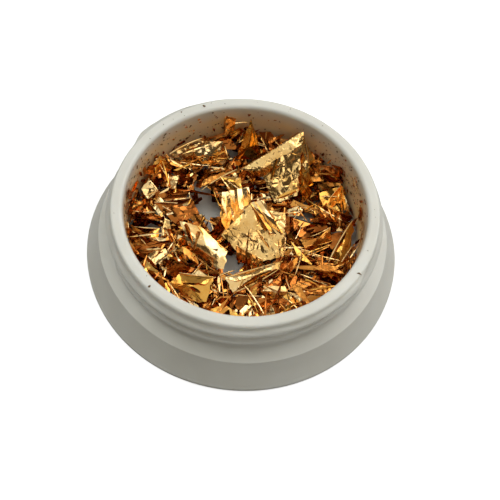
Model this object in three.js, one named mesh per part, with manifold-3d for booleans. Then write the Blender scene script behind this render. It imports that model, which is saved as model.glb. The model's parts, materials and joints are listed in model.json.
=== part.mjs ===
// A small open sample pot with a screw neck, holding loose flakes of metallic foil.
// Millimetres, +Z up. The origin is the centre of the foot, on the surface the pot stands on.
import * as THREE from 'three';
import { mergeVertices } from 'three/addons/utils/BufferGeometryUtils.js';
import Module from 'manifold-3d';

const wasm = await Module();
wasm.setup();

// Pot: driving dimensions.
const RIM_HEIGHT = 8.6;
const BORE_RADIUS = 12.25;
const BORE_DRAFT = 0.2;
const NECK_WALL = 1.3;
const RIM_INNER_ROUND = 0.35;
const RIM_OUTER_ROUND = 0.3;
const FLOOR_LIFT = 0.3;
const FLOOR_THICKNESS = 1.1;
const FLOOR_FILLET = 0.9;
const SHOULDER_HEIGHT = 3.75;
const SHOULDER_WIDTH = 1.5;
const SHOULDER_RISE = 0.4;
const SHOULDER_EDGE_ROUND = 0.15;
const NECK_ROOT_FILLET = 0.45;
const SKIRT_FLARE = 1.45;
const SKIRT_WALL = 1.3;
const SKIRT_BOW = 0.12;
const FOOT_LIP = 0.6;
const FOOT_ROUND = 0.2;
const CORE_GROOVE_TOP = 1.2;

// Screw thread: two starts, right-hand.
const THREAD_STARTS = 2;
const THREAD_LEAD = 2.8;
const THREAD_SWEEP = 320;
const THREAD_DEPTH = 0.5;
const THREAD_CREST = 0.45;
const THREAD_ROOT = 0.95;
const THREAD_TOP_OFFSET = 0.62;
const THREAD_START_ANGLE = 157;
const THREAD_RAMP = 10;
const THREAD_BITE = 0.25;

// Foil: a flake is modelled thicker than real foil, so that it has a body.
const FOIL_THICKNESS = 0.25;
const FOIL_CLEARANCE = 0.3;
const SMALL_FLAKE_COUNT = 26;
const SMALL_FLAKE_REACH = [1.15, 1.65];
const SMALL_FLAKE_TILT = [5, 19];
const CREASE_RISE = 0.4;
const SLIVER_COUNT = 12;
const SLIVER_WIDTH = 0.7;
const SLIVER_HALF_LENGTH = [1.2, 1.8];
const SLIVER_TILT = 6;

const AROUND = 72;
const ROUND_STEPS = 3;
const MAP_CELL = 0.25;

const neckRadius = BORE_RADIUS + NECK_WALL;
const shoulderRadius = neckRadius + SHOULDER_WIDTH;
const baseRadius = shoulderRadius + SKIRT_FLARE;
const floorTop = FLOOR_LIFT + FLOOR_THICKNESS;
const floorRadius = BORE_RADIUS - BORE_DRAFT;
const foilReach = floorRadius - FOIL_CLEARANCE;

const potMaterial = new THREE.MeshStandardMaterial({ color: 0xe9e7e1, roughness: 0.38, metalness: 0 });
const foilMaterial = new THREE.MeshStandardMaterial({ color: 0xcf8f45, roughness: 0.24, metalness: 1 });

const radians = THREE.MathUtils.degToRad;

// Points of a round between two directions (degrees) about a centre, in the r-z plane.
function roundPoints(centreR, centreZ, radius, from, to) {
  const points = [];
  for (let i = 0; i <= ROUND_STEPS; i += 1) {
    const angle = radians(from + ((to - from) * i) / ROUND_STEPS);
    points.push(new THREE.Vector2(centreR + radius * Math.cos(angle), centreZ + radius * Math.sin(angle)));
  }
  return points;
}

// The pot's wall as one closed outline, from the middle of the floor, over the rim and back under.
function potProfile() {
  const at = (r, z) => new THREE.Vector2(r, z);
  const skirtTop = SHOULDER_HEIGHT - SHOULDER_EDGE_ROUND;
  const lipRadius = baseRadius - SKIRT_BOW;
  const crease = SHOULDER_HEIGHT + SHOULDER_RISE;
  const filletTop = crease + NECK_ROOT_FILLET;
  const bowedRadius = (shoulderRadius + lipRadius) / 2 - SKIRT_BOW;
  const grooveTop = SHOULDER_HEIGHT - CORE_GROOVE_TOP;
  return [
    at(0, floorTop),
    ...roundPoints(floorRadius - FLOOR_FILLET, floorTop + FLOOR_FILLET, FLOOR_FILLET, -90, 0),
    ...roundPoints(BORE_RADIUS + RIM_INNER_ROUND, RIM_HEIGHT - RIM_INNER_ROUND, RIM_INNER_ROUND, 180, 90),
    ...roundPoints(neckRadius - RIM_OUTER_ROUND, RIM_HEIGHT - RIM_OUTER_ROUND, RIM_OUTER_ROUND, 90, 0),
    ...roundPoints(neckRadius + NECK_ROOT_FILLET, filletTop, NECK_ROOT_FILLET, 180, 250),
    ...roundPoints(shoulderRadius - SHOULDER_EDGE_ROUND, skirtTop, SHOULDER_EDGE_ROUND, 75, 0),
    at(bowedRadius, (skirtTop + FOOT_LIP) / 2),
    at(lipRadius, FOOT_LIP),
    at(baseRadius, FOOT_LIP - SKIRT_BOW),
    ...roundPoints(baseRadius - FOOT_ROUND, FOOT_ROUND, FOOT_ROUND, 0, -90),
    at(baseRadius - SKIRT_WALL, 0),
    at(shoulderRadius - SKIRT_WALL, grooveTop),
    at(neckRadius - RIM_OUTER_ROUND, grooveTop),
    at(neckRadius - NECK_WALL / 2, FLOOR_LIFT),
    at(0, FLOOR_LIFT),
  ];
}

// Turns a closed geometry into a manifold solid.
function toSolid(geometry) {
  const bare = new THREE.BufferGeometry();
  bare.setAttribute('position', geometry.getAttribute('position'));
  bare.setIndex(geometry.getIndex());
  const merged = mergeVertices(bare, 1e-4);
  const vertProperties = new Float32Array(merged.getAttribute('position').array);
  const corners = Array.from(merged.getIndex().array);
  const triVerts = [];
  for (let i = 0; i < corners.length; i += 3) {
    const [a, b, c] = corners.slice(i, i + 3);
    if (a !== b && b !== c && a !== c) triVerts.push(a, b, c);
  }
  return new wasm.Manifold(new wasm.Mesh({ numProp: 3, vertProperties, triVerts: new Uint32Array(triVerts) }));
}

// Turns a manifold solid back into a geometry.
function toGeometry(solid) {
  const mesh = solid.getMesh();
  const geometry = new THREE.BufferGeometry();
  geometry.setAttribute('position', new THREE.BufferAttribute(new Float32Array(mesh.vertProperties), 3));
  geometry.setIndex(new THREE.BufferAttribute(new Uint32Array(mesh.triVerts), 1));
  geometry.computeVertexNormals();
  return geometry;
}

// One thread ridge: a trapezoid section swept down a helix, sunk into the neck at both ends.
function threadRidge(startAngle) {
  const topZ = RIM_HEIGHT - THREAD_TOP_OFFSET;
  const lowestZ = SHOULDER_HEIGHT + SHOULDER_RISE + NECK_ROOT_FILLET + THREAD_ROOT / 2;
  const sweep = Math.min(THREAD_SWEEP, (360 * (topZ - lowestZ)) / THREAD_LEAD);
  const steps = Math.round((sweep * AROUND) / 360);
  const points = [];
  const triangles = [];
  for (let i = 0; i <= steps; i += 1) {
    const along = (sweep * i) / steps;
    const angle = radians(startAngle - along);
    const z = topZ - (THREAD_LEAD * along) / 360;
    const height = Math.min(1, along / THREAD_RAMP, (sweep - along) / THREAD_RAMP);
    const crest = neckRadius - THREAD_BITE / 2 + (THREAD_DEPTH + THREAD_BITE / 2) * height;
    const section = [
      [neckRadius - THREAD_BITE, -THREAD_ROOT / 2],
      [crest, -THREAD_CREST / 2],
      [crest, THREAD_CREST / 2],
      [neckRadius - THREAD_BITE, THREAD_ROOT / 2],
    ];
    for (const [radius, rise] of section) {
      points.push(radius * Math.cos(angle), radius * Math.sin(angle), z + rise);
    }
  }
  for (let i = 0; i < steps; i += 1) {
    for (let side = 0; side < 4; side += 1) {
      const a = i * 4 + side;
      const b = i * 4 + ((side + 1) % 4);
      triangles.push(a, b, a + 4, b, b + 4, a + 4);
    }
  }
  const last = steps * 4;
  triangles.push(0, 2, 1, 0, 3, 2, last, last + 1, last + 2, last, last + 2, last + 3);
  const ridge = new THREE.BufferGeometry();
  ridge.setAttribute('position', new THREE.BufferAttribute(new Float32Array(points), 3));
  ridge.setIndex(triangles);
  return ridge;
}

function makePot() {
  const lathe = new THREE.LatheGeometry(potProfile().reverse(), AROUND);
  lathe.rotateX(Math.PI / 2);
  let solid = toSolid(lathe);
  for (let start = 0; start < THREAD_STARTS; start += 1) {
    solid = solid.add(toSolid(threadRidge(THREAD_START_ANGLE - (360 * start) / THREAD_STARTS)));
  }
  const pot = new THREE.Mesh(toGeometry(solid), potMaterial);
  pot.name = 'pot';
  return pot;
}

// Height of the pot's floor and its fillet at a distance from the axis. The wall itself is kept
// clear by foilReach.
function floorHeight(radius) {
  const intoFillet = THREE.MathUtils.clamp(radius - (floorRadius - FLOOR_FILLET), 0, FLOOR_FILLET);
  return floorTop + FLOOR_FILLET - Math.sqrt(FLOOR_FILLET ** 2 - intoFillet ** 2);
}

// The height of whatever lies in the pot so far, on a square grid seen from above.
const mapSide = 2 * Math.ceil(BORE_RADIUS / MAP_CELL) + 3;
const pileHeights = new Float32Array(mapSide * mapSide);
const mapIndex = (distance) => Math.round(distance / MAP_CELL) + (mapSide - 1) / 2;
for (let row = 0; row < mapSide; row += 1) {
  for (let column = 0; column < mapSide; column += 1) {
    const x = (column - (mapSide - 1) / 2) * MAP_CELL;
    const y = (row - (mapSide - 1) / 2) * MAP_CELL;
    pileHeights[row * mapSide + column] = floorHeight(Math.hypot(x, y));
  }
}

// Calls visit(cell, z) for every grid cell that a closed mesh covers or touches.
function eachCovered(positions, triangles, visit) {
  const corner = (i) => new THREE.Vector3().fromArray(positions, 3 * i);
  const spacing = MAP_CELL * 0.8;
  for (let i = 0; i < triangles.length; i += 3) {
    const [a, b, c] = [corner(triangles[i]), corner(triangles[i + 1]), corner(triangles[i + 2])];
    const steps = Math.max(1, Math.ceil(Math.max(a.distanceTo(b), b.distanceTo(c), c.distanceTo(a)) / spacing));
    for (let j = 0; j <= steps; j += 1) {
      for (let k = 0; k <= steps - j; k += 1) {
        const point = a.clone().multiplyScalar(1 - (j + k) / steps);
        point.addScaledVector(b, j / steps).addScaledVector(c, k / steps);
        const column = mapIndex(point.x);
        const row = mapIndex(point.y);
        for (let dr = -1; dr <= 1; dr += 1) {
          for (let dc = -1; dc <= 1; dc += 1) {
            visit((row + dr) * mapSide + column + dc, point.z);
          }
        }
      }
    }
  }
}

// Moves corners [x, y, rise] towards the axis until all of them clear the pot's wall.
function keepInside(corners) {
  let moved = corners.map((corner) => [...corner]);
  for (let tries = 0; tries < 8; tries += 1) {
    const furthest = moved.reduce((a, b) => (Math.hypot(a[0], a[1]) > Math.hypot(b[0], b[1]) ? a : b));
    const radius = Math.hypot(furthest[0], furthest[1]);
    const excess = radius - (foilReach - FOIL_THICKNESS);
    if (excess > 0) {
      const [dx, dy] = [(-furthest[0] * excess) / radius, (-furthest[1] * excess) / radius];
      moved = moved.map(([x, y, rise]) => [x + dx, y + dy, rise]);
    }
  }
  return moved;
}

// A creased sheet: facets fan out from a peak to the corners of its outline, with a real thickness.
function creasedSheet(corners, peak) {
  const middle = [...corners, peak].map((corner) => new THREE.Vector3(...corner));
  const last = middle.length - 1;
  const normals = middle.map(() => new THREE.Vector3());
  const facets = [];
  for (let i = 0; i < last; i += 1) {
    const next = (i + 1) % last;
    const one = middle[i].clone().sub(middle[last]);
    const two = middle[next].clone().sub(middle[last]);
    const normal = one.cross(two).normalize();
    facets.push([last, i, next]);
    for (const vertex of [last, i, next]) normals[vertex].add(normal);
  }
  normals.forEach((normal) => normal.normalize().multiplyScalar(FOIL_THICKNESS / 2));
  const positions = [];
  for (const side of [1, -1]) {
    middle.forEach((vertex, i) => positions.push(...vertex.clone().addScaledVector(normals[i], side).toArray()));
  }
  const under = middle.length;
  const triangles = [];
  for (const [a, b, c] of facets) {
    triangles.push(a, b, c, under + a, under + c, under + b);
    triangles.push(b, under + b, under + c, b, under + c, c);
  }
  return { positions, triangles };
}

// Lowers a flake on to whatever lies beneath it, keeping a clearance, and adds it to the pile.
function dropFlake(name, outline, peak) {
  const corners = keepInside([...outline, peak]);
  const top = corners.pop();
  const { positions, triangles } = creasedSheet(corners, top);
  let rest = 0;
  eachCovered(positions, triangles, (cell, z) => {
    rest = Math.max(rest, pileHeights[cell] + FOIL_CLEARANCE - z);
  });
  eachCovered(positions, triangles, (cell, z) => {
    pileHeights[cell] = Math.max(pileHeights[cell], z + rest);
  });
  const geometry = new THREE.BufferGeometry();
  const local = new Float32Array(positions);
  for (let i = 0; i < local.length; i += 3) {
    local[i] -= top[0];
    local[i + 1] -= top[1];
  }
  geometry.setAttribute('position', new THREE.BufferAttribute(local, 3));
  geometry.setIndex(triangles);
  geometry.computeVertexNormals();
  const flake = new THREE.Mesh(geometry, foilMaterial);
  flake.name = name;
  flake.position.set(top[0], top[1], rest);
  return flake;
}

// A repeatable stream of numbers from 0 to 1, for the small flakes' shapes.
function numberStream(seed) {
  let state = seed;
  return () => {
    state = (state * 1664525 + 1013904223) % 4294967296;
    return state / 4294967296;
  };
}

const between = ([low, high], share) => low + (high - low) * share;
const numbered = (i) => String(i + 1).padStart(2, '0');

// Tilts local corners [x, y, rise] about a level axis, then turns and places them in the pot.
function placed(corners, tilt, heading, x, y) {
  const turn = new THREE.Matrix4().makeRotationZ(heading).multiply(new THREE.Matrix4().makeRotationX(tilt));
  return corners.map((corner) => {
    const point = new THREE.Vector3(...corner).applyMatrix4(turn);
    return [point.x + x, point.y + y, point.z];
  });
}

// Small flakes lie over the floor in an even spiral, leaving a few bare spots.
const BARE_SPOTS = [[-4.2, 2.6], [-0.8, -3.4], [6.5, 2.4], [2.2, 10.2]];
const BARE_RADIUS = 1.9;

function spiralPlace(i, count, turn) {
  const radius = foilReach * Math.sqrt((i + 0.6) / count);
  const angle = radians(137.5 * i + turn);
  let [x, y] = [radius * Math.cos(angle), radius * Math.sin(angle)];
  for (const [bareX, bareY] of BARE_SPOTS) {
    const away = Math.hypot(x - bareX, y - bareY);
    if (away < BARE_RADIUS) {
      x = bareX + ((x - bareX) * BARE_RADIUS) / away;
      y = bareY + ((y - bareY) * BARE_RADIUS) / away;
    }
  }
  return [x, y];
}

function smallFlakes() {
  const next = numberStream(7);
  const flakes = [];
  for (let i = 0; i < SMALL_FLAKE_COUNT; i += 1) {
    const [x, y] = spiralPlace(i, SMALL_FLAKE_COUNT, 20);
    const sides = 4 + Math.floor(2 * next());
    const size = between(SMALL_FLAKE_REACH, next());
    const corners = [];
    for (let side = 0; side < sides; side += 1) {
      const angle = (2 * Math.PI * (side + 0.5 * next())) / sides;
      const reach = size * between([0.75, 1.25], next());
      corners.push([reach * Math.cos(angle), reach * Math.sin(angle), CREASE_RISE * next()]);
    }
    corners.push([0, 0, CREASE_RISE * next()]);
    const tilt = radians(between(SMALL_FLAKE_TILT, next()));
    const outline = placed(corners, tilt, 2 * Math.PI * next(), x, y);
    const peak = outline.pop();
    flakes.push(dropFlake(`small_flake_${numbered(i)}`, outline, peak));
  }
  return flakes;
}

// Slivers are narrow strips that curled along their length.
function slivers() {
  const next = numberStream(23);
  const flakes = [];
  for (let i = 0; i < SLIVER_COUNT; i += 1) {
    const [x, y] = spiralPlace(i, SLIVER_COUNT, 75);
    const half = between(SLIVER_HALF_LENGTH, next());
    const wide = SLIVER_WIDTH / 2;
    const corners = [[-half, -wide, 0], [half, -wide * next(), 0.1], [half, wide, 0], [-half, wide, 0]];
    corners.push([0.2 * half, 0, 0.3]);
    const outline = placed(corners, radians(SLIVER_TILT), 2 * Math.PI * next(), x, y);
    const peak = outline.pop();
    flakes.push(dropFlake(`sliver_${numbered(i)}`, outline, peak));
  }
  return flakes;
}

// The large flakes, in the order they lie: outline corners [x, y, rise] and the crease's peak.
const LARGE_FLAKES = {
  dark_flake_left: {
    outline: [[-9.6, 1.7, 0.4], [-7.2, -0.1, 0], [-4.8, 1.3, 0.3], [-6.0, 3.0, 0.5]],
    peak: [-6.9, 1.3, 0.7],
  },
  low_flake_left: {
    outline: [[-11.4, -1.0, 0.6], [-10.3, -2.8, 0], [-8.8, -2.9, 0.2], [-8.7, -0.9, 0.7]],
    peak: [-9.8, -1.9, 0.8],
  },
  flat_flake_front: {
    outline: [[-6.7, -7.6, 0.2], [-4.4, -9.3, 0], [-2.8, -9.3, 0.2], [-2.4, -6.7, 0.7], [-5.8, -6.6, 0.6]],
    peak: [-4.4, -8.0, 0.7],
  },
  front_flake_right: {
    outline: [[6.0, -6.5, 0.1], [8.9, -6.6, 0], [9.4, -5.4, 0.4], [6.2, -4.8, 0.6]],
    peak: [7.5, -5.9, 0.7],
  },
  middle_flake_right: {
    outline: [[5.9, -0.5, 0.5], [6.6, -1.7, 0], [9.3, 0.0, 0.2], [9.0, 1.4, 0.7]],
    peak: [7.8, -0.2, 0.9],
  },
  rolled_flake_back: {
    outline: [
      [-9.0, 7.4, 2.6], [-7.7, 7.3, 1.5], [-3.3, 8.6, 0],
      [-2.6, 9.4, 0.6], [-3.6, 10.2, 2.2], [-5.6, 9.7, 2.6],
    ],
    peak: [-5.2, 8.8, 1.6],
  },
  long_flake_left: {
    outline: [[-5.9, 5.2, 0], [-5.0, 4.0, 0.5], [-1.5, 6.6, 1.4], [-2.6, 7.4, 0.8], [-5.0, 7.0, 0.3]],
    peak: [-3.9, 6.0, 1.1],
  },
  wall_flake: {
    outline: [[-3.2, 10.7, 0], [-2.4, 10.8, 0.2], [-2.2, 11.1, 2.8], [-3.3, 11.1, 3.0]],
    peak: [-2.8, 10.9, 1.5],
  },
  spike_flake: {
    outline: [[-1.8, 8.7, 0], [1.1, 9.0, 0], [-0.6, 10.9, 4.4]],
    peak: [-0.4, 9.4, 1.8],
  },
  kite_flake: {
    outline: [
      [0.4, 2.2, 2.1], [-2.2, -1.1, 0.8], [-0.3, -2.7, 0.2],
      [2.3, -3.2, 0], [4.5, -2.4, 0.3], [4.1, 1.9, 1.5],
    ],
    peak: [1.5, -0.6, 1.6],
  },
  crumpled_flake_left: {
    outline: [
      [-6.5, -0.7, 0.8], [-5.2, -3.3, 0.2], [-2.7, -5.0, 0],
      [-1.5, -5.0, 0.2], [-1.4, -3.0, 0.5], [-4.2, -1.0, 0.9],
    ],
    peak: [-3.5, -3.1, 0.9],
  },
  long_flake_front: {
    outline: [[-1.3, -6.2, 0.6], [-0.3, -7.5, 0], [4.0, -4.7, 0.9], [4.3, -3.9, 1.2]],
    peak: [1.8, -5.7, 1.1],
  },
  upright_flake_right: {
    outline: [[11.3, 2.1, 1.6], [9.2, -2.5, 0.3], [10.2, -3.1, 0], [11.6, -0.3, 0.5]],
    peak: [10.6, -0.5, 1.2],
  },
  fan_flake_right: {
    outline: [[9.6, 6.1, 1.6], [7.8, 5.6, 0.9], [8.3, 4.1, 0.4], [10.4, 3.9, 0], [10.6, 5.0, 0.6]],
    peak: [9.4, 5.0, 1.1],
  },
  square_flake_left: {
    outline: [[-11.3, 2.8, 0.7], [-10.5, 2.1, 0], [-9.6, 3.1, 0.3], [-10.7, 4.0, 0.9]],
    peak: [-10.5, 3.0, 0.6],
  },
  middle_flake_left: {
    outline: [[-3.1, 5.2, 0.6], [-1.9, 4.1, 0], [-0.5, 4.0, 0.2], [-1.0, 5.3, 0.6]],
    peak: [-1.6, 4.7, 0.6],
  },
  large_folded_flake: {
    outline: [
      [5.0, 10.3, 3.6], [-1.1, 6.0, 1.4], [1.4, 5.8, 0.9],
      [3.0, 3.3, 0], [5.2, 4.5, 0.1], [6.1, 7.6, 1.4],
    ],
    peak: [3.5, 6.9, 2.0],
  },
};

function largeFlakes() {
  return Object.entries(LARGE_FLAKES).map(([name, { outline, peak }]) => dropFlake(name, outline, peak));
}

const samplePot = new THREE.Group();
samplePot.add(makePot());
samplePot.add(...smallFlakes());
samplePot.add(...slivers());
samplePot.add(...largeFlakes());

export default samplePot;
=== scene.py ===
# A small white sample pot with a screw neck, standing open, with loose crumpled metal leaf in it.
import json
import math
import random

import bmesh
import bpy
import numpy as np
from mathutils import Matrix, Vector, noise
from mathutils.geometry import delaunay_2d_cdt

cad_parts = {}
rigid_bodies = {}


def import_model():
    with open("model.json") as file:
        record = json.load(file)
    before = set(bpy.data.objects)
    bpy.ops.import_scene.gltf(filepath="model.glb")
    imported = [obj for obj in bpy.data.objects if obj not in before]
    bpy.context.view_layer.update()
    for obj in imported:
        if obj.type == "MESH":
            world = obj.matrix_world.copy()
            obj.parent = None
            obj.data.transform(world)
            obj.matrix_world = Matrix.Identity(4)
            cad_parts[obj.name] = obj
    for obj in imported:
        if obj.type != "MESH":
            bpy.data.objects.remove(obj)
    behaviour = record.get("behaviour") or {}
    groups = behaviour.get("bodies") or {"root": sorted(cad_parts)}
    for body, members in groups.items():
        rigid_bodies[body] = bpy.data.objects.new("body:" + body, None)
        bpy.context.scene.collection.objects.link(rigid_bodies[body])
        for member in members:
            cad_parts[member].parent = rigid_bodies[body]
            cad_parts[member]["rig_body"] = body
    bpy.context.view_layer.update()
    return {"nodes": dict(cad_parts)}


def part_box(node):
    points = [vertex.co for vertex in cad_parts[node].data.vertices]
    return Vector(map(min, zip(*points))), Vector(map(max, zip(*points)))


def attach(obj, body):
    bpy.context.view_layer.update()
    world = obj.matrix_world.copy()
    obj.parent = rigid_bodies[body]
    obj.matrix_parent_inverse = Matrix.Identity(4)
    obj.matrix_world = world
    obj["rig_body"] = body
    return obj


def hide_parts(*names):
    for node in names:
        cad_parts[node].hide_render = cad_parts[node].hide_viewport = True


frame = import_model()
mm = 0.001


# ---------------------------------------------------------------- the pot
# One moulding of white polypropylene: a cup with a screw neck, a sloping shoulder and a flared
# skirt that it stands on. The mould leaves soft edges; the thread has two starts.

pot_low, pot_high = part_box("pot")
foot_radius = pot_high.x / mm
rim_height = pot_high.z / mm
bore_radius = 12.25
bore_draft = 0.2
neck_radius = 13.55
floor_top = 1.4
floor_fillet = 0.9
underside_lift = 0.3


def arc(centre_r, centre_z, radius, first, last, steps):
    """Points of an arc in the r-z plane, from one direction to another, in degrees."""
    points = []
    for step in range(steps + 1):
        angle = math.radians(first + (last - first) * step / steps)
        points.append((centre_r + radius * math.cos(angle), centre_z + radius * math.sin(angle)))
    return points


def fine(points, spacing):
    """The same outline with a point at least every spacing."""
    dense = [points[0]]
    for (r0, z0), (r1, z1) in zip(points, points[1:]):
        steps = max(1, math.ceil(math.hypot(r1 - r0, z1 - z0) / spacing))
        for step in range(1, steps + 1):
            share = step / steps
            dense.append((r0 + (r1 - r0) * share, z0 + (z1 - z0) * share))
    return dense


def skirt_line(top_r, top_z, low_r, low_z, bow):
    """The skirt's outside, which bows in a little between the shoulder and the foot."""
    points = []
    for step in range(25):
        share = step / 24
        sag = bow * math.sin(math.pi * share)
        points.append((top_r + (low_r - top_r) * share - sag, top_z + (low_z - top_z) * share))
    return points


def pot_outline():
    """From the middle of the floor, up the bore, over the rim, down outside and back under."""
    outline = [(0, floor_top), (6, floor_top)]
    fillet_centre = bore_radius - bore_draft - floor_fillet
    outline += arc(fillet_centre, floor_top + floor_fillet, floor_fillet, -90, 0, 10)
    outline += arc(bore_radius + 0.42, rim_height - 0.42, 0.42, 180, 92, 12)
    outline += arc(neck_radius - 0.3, rim_height - 0.3, 0.3, 90, 0, 8)
    outline += arc(neck_radius + 0.45, 4.6, 0.45, 180, 250, 8)
    outline += arc(14.92, 3.6, 0.15, 75, 8, 6)
    outline += skirt_line(15.06, 3.55, foot_radius - 0.16, 0.72, 0.1)
    outline += arc(foot_radius - 0.22, 0.46, 0.22, 45, 0, 5)
    outline += arc(foot_radius - 0.2, 0.2, 0.2, 0, -90, 6)
    outline += [(15.2, 0), (13.75, 2.5), (13.3, 2.5), (12.9, underside_lift), (1.1, underside_lift)]
    outline += [(0.9, underside_lift - 0.12), (0, underside_lift - 0.12)]
    return fine(outline, 0.16)


def thread_height(angle, z):
    """How far a thread ridge stands out of the neck at this angle, in degrees, and height."""
    lead, sweep, depth = 2.8, 318, 0.5
    raised = 0
    for start in (157, -23):
        along = (start - angle) % 360
        if along > sweep:
            continue
        centre = rim_height - 0.62 - lead * along / 360
        flank = (0.5 - abs(z - centre)) / 0.26
        flank = min(1, max(0, flank))
        ends = min(1, along / 11, (sweep - along) / 14)
        ends = ends * ends * (3 - 2 * ends)
        raised = max(raised, depth * ends * flank * flank * (3 - 2 * flank))
    return raised


def mould_pot(turns=540):
    """The pot as one closed mesh, with the thread raised out of the neck."""
    mesh = bpy.data.meshes.new("pot_moulding")
    outline = pot_outline()
    lathe = bmesh.new()
    rings = []
    for r, z in outline:
        if r == 0:
            rings.append([lathe.verts.new((0, 0, z * mm))])
            continue
        ring = []
        on_neck = abs(r - neck_radius) < 0.02 and z > 4.6
        for turn in range(turns):
            degrees = 360 * turn / turns
            reach = r + (thread_height(degrees, z) if on_neck else 0)
            angle = math.radians(degrees)
            place = Vector((reach * math.cos(angle), reach * math.sin(angle), z)) * mm
            ring.append(lathe.verts.new(place))
        rings.append(ring)
    for upper, lower in zip(rings, rings[1:]):
        for turn in range(turns):
            after = (turn + 1) % turns
            if len(upper) == 1:
                lathe.faces.new((upper[0], lower[turn], lower[after]))
            elif len(lower) == 1:
                lathe.faces.new((upper[after], upper[turn], lower[0]))
            else:
                lathe.faces.new((upper[turn], lower[turn], lower[after], upper[after]))
    bmesh.ops.recalc_face_normals(lathe, faces=lathe.faces)
    for face in lathe.faces:
        face.smooth = True
    lathe.to_mesh(mesh)
    lathe.free()
    return bpy.data.objects.new("moulded_pot", mesh)


def node_at(tree, kind, **settings):
    """A new node, with its properties and unlinked sockets set by name."""
    node = tree.nodes.new(kind)
    for key, value in settings.items():
        if hasattr(node, key):
            setattr(node, key, value)
        else:
            node.inputs[key.replace("_", " ")].default_value = value
    return node


def new_material(name):
    """An empty node material: itself, its node tree and its shader."""
    material = bpy.data.materials.new(name)
    material.use_nodes = True
    return material, material.node_tree, material.node_tree.nodes["Principled BSDF"]


def connect(tree, *wires):
    """Links nodes: each wire is a node, its output, the node it feeds and that one's input."""
    for source, output, target, socket in wires:
        tree.links.new(source.outputs[output], target.inputs[socket])


def dust_film_and_glow(tree, place, cloud):
    """A node for how much the bore is tinted amber, 0 to 1: patchy, most just above the heap. The tint is
    partly a film of leaf dust and partly a painted reflection of the heap's amber glow.
    """
    split = node_at(tree, "ShaderNodeSeparateXYZ")
    level = node_at(tree, "ShaderNodeVectorMath", operation="MULTIPLY")
    level.inputs[1].default_value = (1, 1, 0)
    reach = node_at(tree, "ShaderNodeVectorMath", operation="LENGTH")
    within = node_at(tree, "ShaderNodeMapRange", From_Min=0.0125, From_Max=0.01215)
    above = node_at(tree, "ShaderNodeMapRange", From_Min=0.002, From_Max=0.0035)
    below = node_at(tree, "ShaderNodeMapRange", From_Min=0.0084, From_Max=0.0066)
    height_mask = node_at(tree, "ShaderNodeMath", operation="MULTIPLY")
    wall_mask = node_at(tree, "ShaderNodeMath", operation="MULTIPLY")
    patches = node_at(tree, "ShaderNodeMapRange", From_Min=0.3, From_Max=0.65, To_Min=0.55, To_Max=1.0)
    film = node_at(tree, "ShaderNodeMath", operation="MULTIPLY")
    connect(
        tree,
        (place, "Object", split, "Vector"),
        (place, "Object", level, 0),
        (level, "Vector", reach, 0),
        (reach, "Value", within, "Value"),
        (split, "Z", above, "Value"),
        (split, "Z", below, "Value"),
        (above, "Result", height_mask, 0),
        (below, "Result", height_mask, 1),
        (height_mask, "Value", wall_mask, 0),
        (within, "Result", wall_mask, 1),
        (cloud, "Fac", patches, "Value"),
        (patches, "Result", film, 0),
        (wall_mask, "Value", film, 1),
    )
    return film


def white_polypropylene():
    """Milky satin plastic: faintly cloudy, scuffed, lit from within, and tinted amber inside, partly by
    leaf dust and partly by a painted reflection of the leaf.
    """
    material, tree, shader = new_material("white_polypropylene")
    place = node_at(tree, "ShaderNodeTexCoord")
    cloud = node_at(tree, "ShaderNodeTexNoise", Scale=160, Detail=3, Roughness=0.5)
    tint = node_at(tree, "ShaderNodeValToRGB")
    tint.color_ramp.elements[0].position = 0.3
    tint.color_ramp.elements[0].color = (0.715, 0.70, 0.645, 1)
    tint.color_ramp.elements[1].position = 0.7
    tint.color_ramp.elements[1].color = (0.78, 0.77, 0.72, 1)
    stretch = node_at(tree, "ShaderNodeMapping", Scale=(1, 1, 9))
    scuffs = node_at(tree, "ShaderNodeTexNoise", Scale=900, Detail=6, Roughness=0.65)
    sheen = node_at(tree, "ShaderNodeMapRange", To_Min=0.3, To_Max=0.46)
    ripple = node_at(tree, "ShaderNodeTexNoise", Scale=420, Detail=2)
    relief = node_at(tree, "ShaderNodeMix", data_type="FLOAT")
    relief.inputs["Factor"].default_value = 0.35
    bump = node_at(tree, "ShaderNodeBump", Strength=0.12, Distance=0.00012)
    # Amber tint of the bore: partly a real film of leaf dust, partly a painted reflection of the heap's
    # glow on the wall above it.
    stain_and_glow = node_at(tree, "ShaderNodeMix", data_type="RGBA")
    stain_and_glow.inputs["B"].default_value = (0.92, 0.65, 0.29, 1)
    connect(
        tree,
        (place, "Object", cloud, "Vector"),
        (cloud, "Fac", tint, "Fac"),
        (dust_film_and_glow(tree, place, cloud), "Value", stain_and_glow, "Factor"),
        (tint, "Color", stain_and_glow, "A"),
        (stain_and_glow, "Result", shader, "Base Color"),
        (place, "Object", stretch, "Vector"),
        (stretch, "Vector", scuffs, "Vector"),
        (scuffs, "Fac", sheen, "Value"),
        (sheen, "Result", shader, "Roughness"),
        (place, "Object", ripple, "Vector"),
        (ripple, "Fac", relief, "A"),
        (scuffs, "Fac", relief, "B"),
        (relief, "Result", bump, "Height"),
        (bump, "Normal", shader, "Normal"),
    )
    shader.inputs["IOR"].default_value = 1.49
    shader.inputs["Subsurface Weight"].default_value = 0.5
    shader.inputs["Subsurface Radius"].default_value = (1.0, 0.92, 0.8)
    shader.inputs["Subsurface Scale"].default_value = 0.0012
    return material


pot = mould_pot()
bpy.context.scene.collection.objects.link(pot)
pot.data.materials.append(white_polypropylene())
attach(pot, "pot")
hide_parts("pot")


# ---------------------------------------------------------------- the metal leaf's finish
# Leaf beaten or plated a few microns thick, in a copper-gold alloy under amber lacquer. It is
# mirror bright where it is flat and finely wrinkled all over.


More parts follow.
